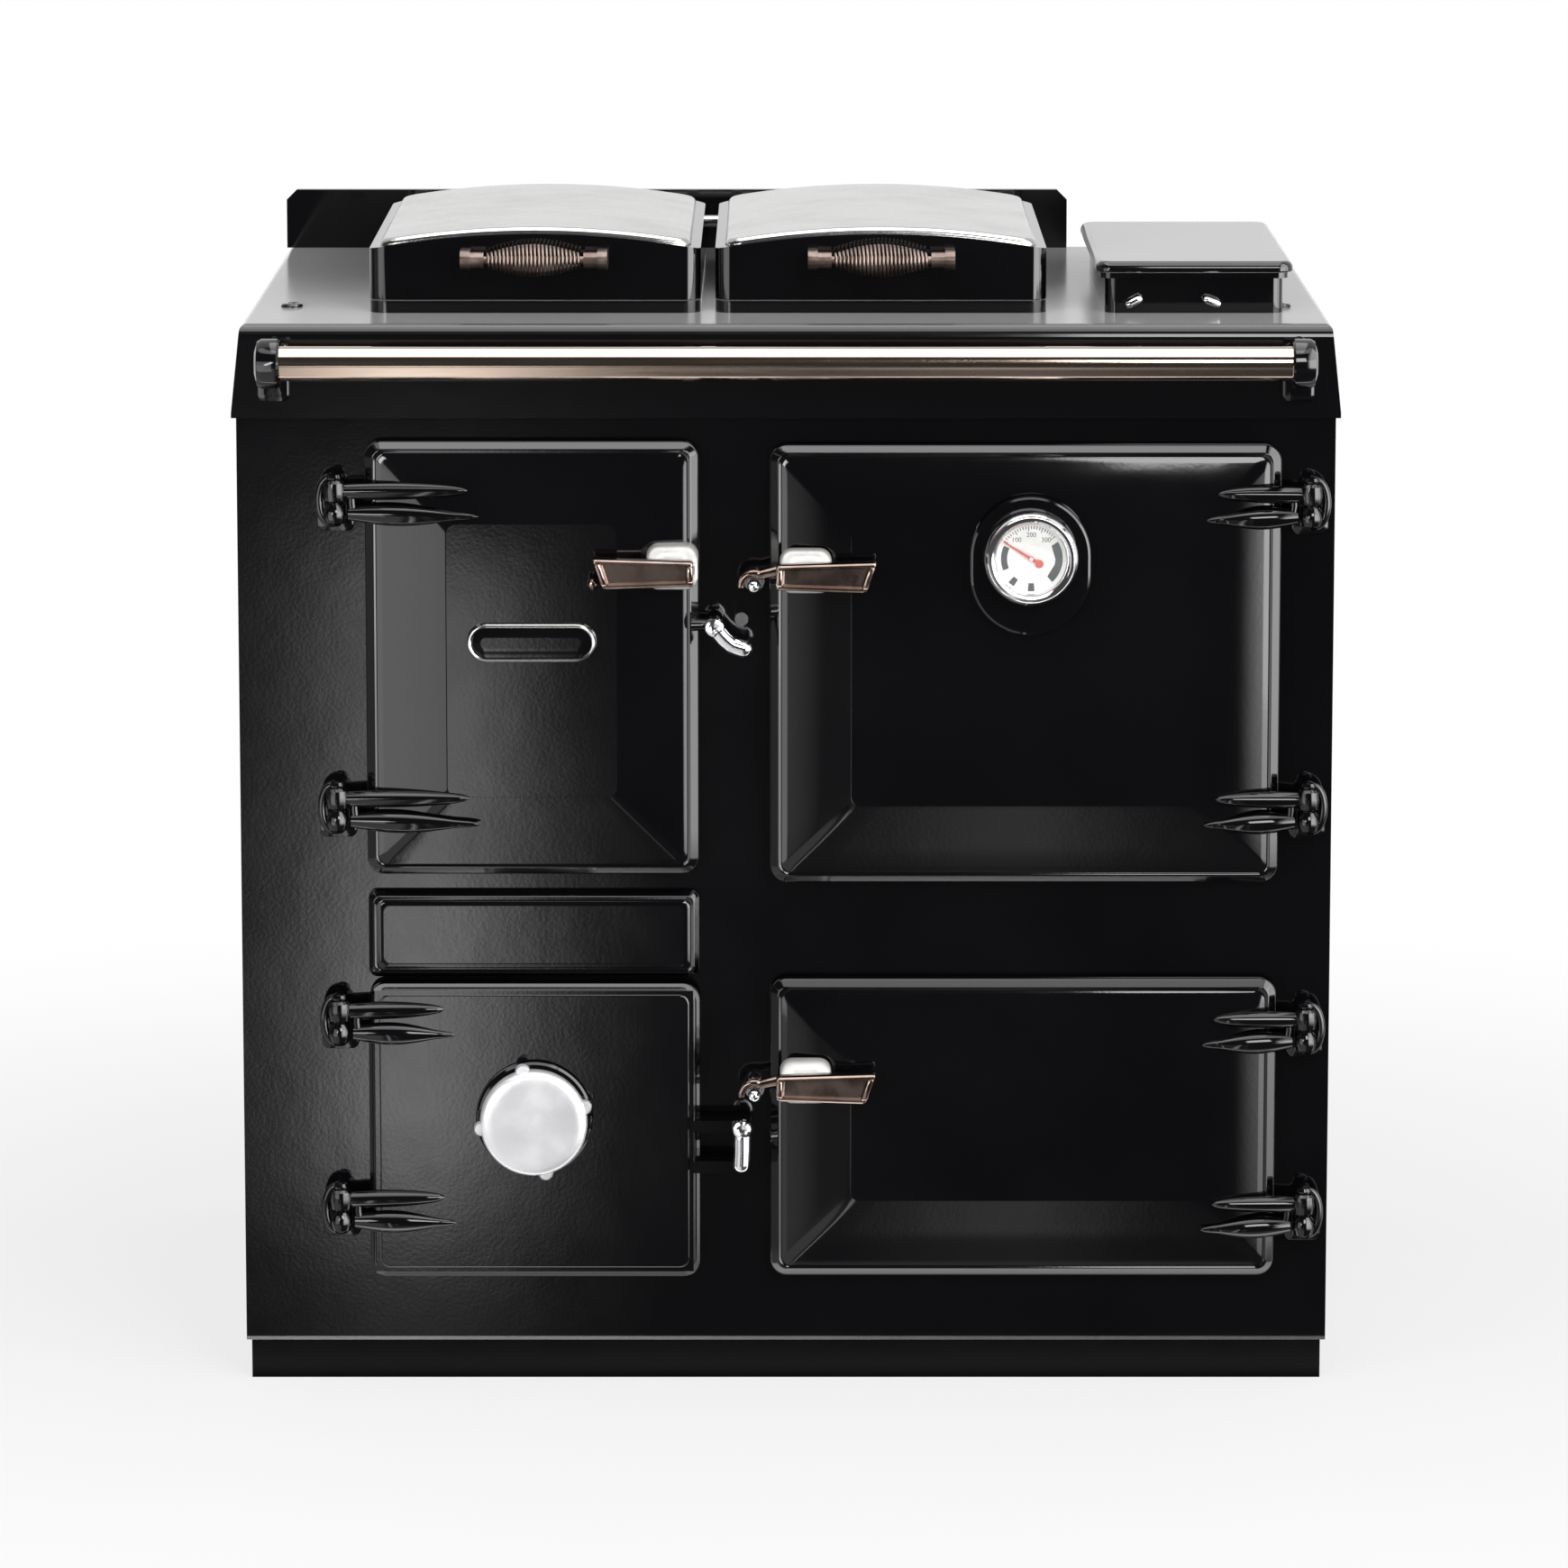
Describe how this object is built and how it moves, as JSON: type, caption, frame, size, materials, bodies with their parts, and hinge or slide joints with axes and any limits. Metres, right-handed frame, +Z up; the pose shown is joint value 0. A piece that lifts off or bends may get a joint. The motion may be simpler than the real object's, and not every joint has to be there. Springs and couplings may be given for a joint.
{
  "type": "range cooker",
  "caption": "Free-standing cast iron solid-fuel range with firebox, ashpit and ovens behind hinged doors, hotplates under hinged domed lids, flue box and front hand rail.",
  "frame": {"origin": "on the floor, under the middle of the carcass", "axes": "+X to the right seen from the front, -Y out of the doors, +Z up"},
  "size_m": [0.9, 0.7299, 0.949],
  "materials": {
    "black_enamel": "gloss vitreous enamel",
    "raw_iron": "ground and blacked cast iron",
    "grey_steel": "plain sheet steel",
    "bright_steel": "polished stainless steel",
    "chrome": "polished chrome plate",
    "nickel": "satin nickel plate",
    "fire_brick": "rough fired clay",
    "insulation": "mineral wool slab",
    "dial_white": "white printed face",
    "pointer_red": "red lacquer",
    "gauge_glass": "clear glass",
    "bush_brass": "turned brass"
  },
  "bodies": {
    "carcass": {"plinth": "black_enamel", "hearth_plate": "bright_steel", "side_panels": "black_enamel", "back_panel": "raw_iron", "front_plate": "black_enamel", "infill_panel": "black_enamel", "hob": "black_enamel", "hob_upstand": "black_enamel", "hotplates": "raw_iron", "lid_hinge_rod": "bright_steel", "hand_rail": "nickel", "rail_brackets": "black_enamel", "flue_box": "black_enamel", "flue_cover": "black_enamel", "flue_collar": "raw_iron", "main_oven_box": "grey_steel", "lower_oven_box": "grey_steel", "oven_shelves": "grey_steel", "insulation_slabs": "insulation", "fire_bricks": "fire_brick", "boiler": "grey_steel", "ashpit_casting": "raw_iron", "ashpan": "grey_steel", "hinge_brackets": "black_enamel", "latch_keepers": "chrome"},
    "riddling_grate": {"riddling_grate": "raw_iron"},
    "firebox_door": {"firebox_door": "black_enamel", "firebox_door_liner": "raw_iron", "firebox_door_straps": "black_enamel", "firebox_handle": "nickel", "name_plaque": "bright_steel"},
    "firebox_latch": {"firebox_latch": "chrome"},
    "ashpit_door": {"ashpit_door": "black_enamel", "ashpit_door_straps": "black_enamel", "air_register": "raw_iron"},
    "ashpit_latch": {"ashpit_latch": "chrome"},
    "air_bush": {"air_bush": "bush_brass"},
    "air_wheel": {"air_wheel": "chrome"},
    "main_oven_door": {"main_oven_door": "black_enamel", "main_oven_door_liner": "raw_iron", "main_oven_door_straps": "black_enamel", "thermometer_case": "chrome", "thermometer_dial": "dial_white", "thermometer_glass": "gauge_glass"},
    "thermometer_pointer": {"thermometer_pointer": "pointer_red"},
    "main_oven_handle": {"main_oven_handle": "nickel"},
    "lower_oven_door": {"lower_oven_door": "black_enamel", "lower_oven_door_liner": "raw_iron", "lower_oven_door_straps": "black_enamel"},
    "lower_oven_handle": {"lower_oven_handle": "nickel"},
    "left_lid": {"left_lid": "black_enamel", "left_lid_dome": "bright_steel", "left_lid_liner": "bright_steel", "left_grip_mount": "nickel", "left_grip_coil": "nickel"},
    "right_lid": {"right_lid": "black_enamel", "right_lid_dome": "bright_steel", "right_lid_liner": "bright_steel", "right_grip_mount": "nickel", "right_grip_coil": "nickel"}
  },
  "joints": [
    {"name": "firebox_door_swing", "type": "hinge", "parent": "carcass", "child": "firebox_door", "pos_m": [-0.366, -0.322, 0.61], "axis": [0, 0, -1], "range_deg": [0, 105]},
    {"name": "ashpit_door_swing", "type": "hinge", "parent": "carcass", "child": "ashpit_door", "pos_m": [-0.366, -0.322, 0.24], "axis": [0, 0, -1], "range_deg": [0, 105]},
    {"name": "main_oven_door_swing", "type": "hinge", "parent": "carcass", "child": "main_oven_door", "pos_m": [0.426, -0.322, 0.61], "axis": [0, 0, 1], "range_deg": [0, 105]},
    {"name": "lower_oven_door_swing", "type": "hinge", "parent": "carcass", "child": "lower_oven_door", "pos_m": [0.426, -0.322, 0.23], "axis": [0, 0, 1], "range_deg": [0, 105]},
    {"name": "left_lid_lift", "type": "hinge", "parent": "carcass", "child": "left_lid", "pos_m": [-0.206, 0.182, 0.914], "axis": [-1, 0, 0], "range_deg": [0, 92]},
    {"name": "right_lid_lift", "type": "hinge", "parent": "carcass", "child": "right_lid", "pos_m": [0.078, 0.182, 0.914], "axis": [-1, 0, 0], "range_deg": [0, 92]},
    {"name": "main_oven_handle_turn", "type": "hinge", "parent": "main_oven_door", "child": "main_oven_handle", "pos_m": [0.016, -0.336, 0.679], "axis": [0, 1, 0], "range_deg": [0, 25]},
    {"name": "lower_oven_handle_turn", "type": "hinge", "parent": "lower_oven_door", "child": "lower_oven_handle", "pos_m": [0.016, -0.336, 0.257], "axis": [0, 1, 0], "range_deg": [0, 25]},
    {"name": "firebox_latch_turn", "type": "hinge", "parent": "firebox_door", "child": "firebox_latch", "pos_m": [-0.058, -0.336, 0.636], "axis": [0, 1, 0], "range_deg": [0, 60]},
    {"name": "ashpit_latch_turn", "type": "hinge", "parent": "ashpit_door", "child": "ashpit_latch", "pos_m": [-0.036, -0.336, 0.22], "axis": [0, -1, 0], "range_deg": [0, 80]},
    {"name": "air_bush_travel", "type": "slide", "parent": "ashpit_door", "child": "air_bush", "axis": [0, -1, 0], "range_m": [-0.0026, 0.0051]},
    {"name": "air_wheel_turn", "type": "hinge", "parent": "air_bush", "child": "air_wheel", "pos_m": [-0.2065, -0.336, 0.226], "axis": [0, -1, 0], "range_deg": [-360, 720]},
    {"name": "thermometer_sweep", "type": "hinge", "parent": "main_oven_door", "child": "thermometer_pointer", "pos_m": [0.198, -0.35, 0.694], "axis": [0, 1, 0], "range_deg": [-80, 190]},
    {"name": "grate_riddle", "type": "hinge", "parent": "carcass", "child": "riddling_grate", "pos_m": [-0.2065, -0.121, 0.392], "axis": [0, 0, 1], "range_deg": [-15, 15]}
  ],
  "couplings": [
    {"joint": "air_bush_travel", "follows": "air_wheel_turn", "m_per_rad": 0.00039789}
  ]
}
